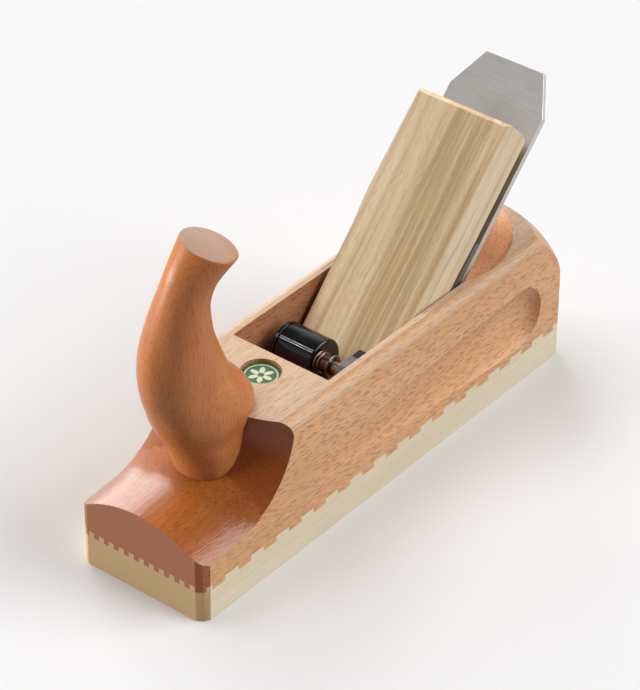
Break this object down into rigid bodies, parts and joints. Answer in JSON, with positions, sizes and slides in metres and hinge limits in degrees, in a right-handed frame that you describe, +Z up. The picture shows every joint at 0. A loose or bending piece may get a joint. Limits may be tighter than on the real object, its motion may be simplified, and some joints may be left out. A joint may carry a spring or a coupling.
{
  "type": "wooden jack plane",
  "caption": "Wooden bench plane with a curved front horn, finger-jointed sole, double iron, wedge and an eccentric clamping roller in an open throat.",
  "frame": {"origin": "centre of the block's rectangle on the sole's face", "axes": "+Z up from the sole to the deck, -Y towards the toe and +Y towards the heel, +X to the right as seen from the toe"},
  "size_m": [0.065, 0.2445, 0.156],
  "materials": {
    "beech": "satin oiled",
    "hornbeam": "satin oiled",
    "horn_wood": "satin oiled",
    "wedge_wood": "planed",
    "dowel_wood": "plain",
    "label": "printed in two plain colours",
    "iron_steel": "ground",
    "cap_steel": "dull",
    "bush_brass": "turned",
    "spindle_steel": "bright",
    "lever_steel": "satin",
    "sleeve_bronze": "browned",
    "black_plastic": "gloss"
  },
  "bodies": {
    "block": {"body": "beech", "sole": "hornbeam", "horn": "horn_wood", "horn_dowel": "dowel_wood", "label_disc": "label", "strike_button": "hornbeam", "right_bush": "black_plastic"},
    "wedge": {"wedge": "wedge_wood"},
    "iron": {"cutting_iron": "iron_steel"},
    "cap": {"cap_iron": "cap_steel", "screw_bush": "bush_brass"},
    "screw": {"cap_screw": "cap_steel"},
    "eccentric": {"cross_spindle": "spindle_steel", "roller": "black_plastic", "roller_flange": "black_plastic", "roller_sleeve": "sleeve_bronze", "inner_ring": "spindle_steel", "middle_ring": "spindle_steel", "outer_ring": "spindle_steel", "lever": "lever_steel", "lever_pad": "black_plastic"}
  },
  "joints": [
    {"name": "eccentric_turn", "type": "hinge", "parent": "block", "child": "eccentric", "pos_m": [0, -0.0107, 0.053], "axis": [1, 0, 0], "range_deg": [0, 110]},
    {"name": "wedge_slide", "type": "slide", "parent": "block", "child": "wedge", "axis": [0, 0.7071, 0.7071], "range_m": [0, 0.06]},
    {"name": "iron_slide", "type": "slide", "parent": "block", "child": "iron", "axis": [0, 0.7071, 0.7071], "range_m": [0, 0.05]},
    {"name": "cap_slide", "type": "slide", "parent": "iron", "child": "cap", "axis": [0, 0.7071, 0.7071], "range_m": [0, 0.03]},
    {"name": "screw_turn", "type": "hinge", "parent": "cap", "child": "screw", "pos_m": [0, 0.04038, 0.04731], "axis": [0, -0.7071, 0.7071], "range_deg": [0, 360]}
  ]
}
